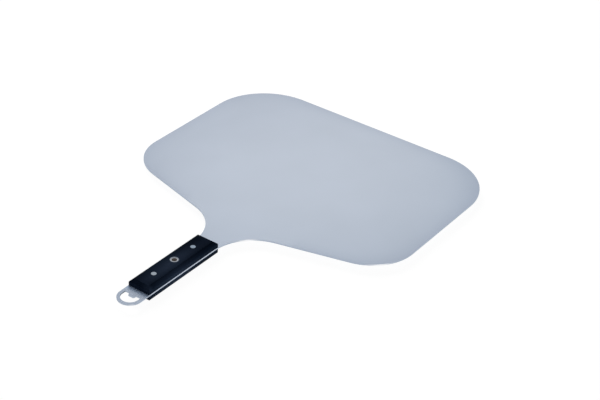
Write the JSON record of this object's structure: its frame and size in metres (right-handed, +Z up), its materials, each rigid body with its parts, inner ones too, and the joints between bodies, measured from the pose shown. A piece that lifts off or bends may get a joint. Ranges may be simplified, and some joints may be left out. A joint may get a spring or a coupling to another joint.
{
  "type": "pizza peel",
  "caption": "Short-handled pizza peel: a wide round-cornered steel blade, a riveted black two-scale grip and a bottle opener in its tail.",
  "frame": {"origin": "under the middle of the overall length, on the symmetry plane, level with the grip's lowest face", "axes": "+Y from the grip towards the blade's front edge, +Z up from the grip's underside to its top, +X to the right of someone holding the grip"},
  "size_m": [0.356, 0.456, 0.0175],
  "materials": {
    "sheet_steel": "fine satin",
    "grip": "matte black composite",
    "rivet_steel": "ground flush",
    "emblem": "satin with a brown enamelled field"
  },
  "bodies": {
    "root": {"blade": "sheet_steel", "upper_scale": "grip", "lower_scale": "grip", "front_rivet_barrel": "rivet_steel", "front_rivet_pin": "rivet_steel", "rear_rivet_barrel": "rivet_steel", "rear_rivet_pin": "rivet_steel", "emblem_disc": "emblem"}
  },
  "joints": []
}
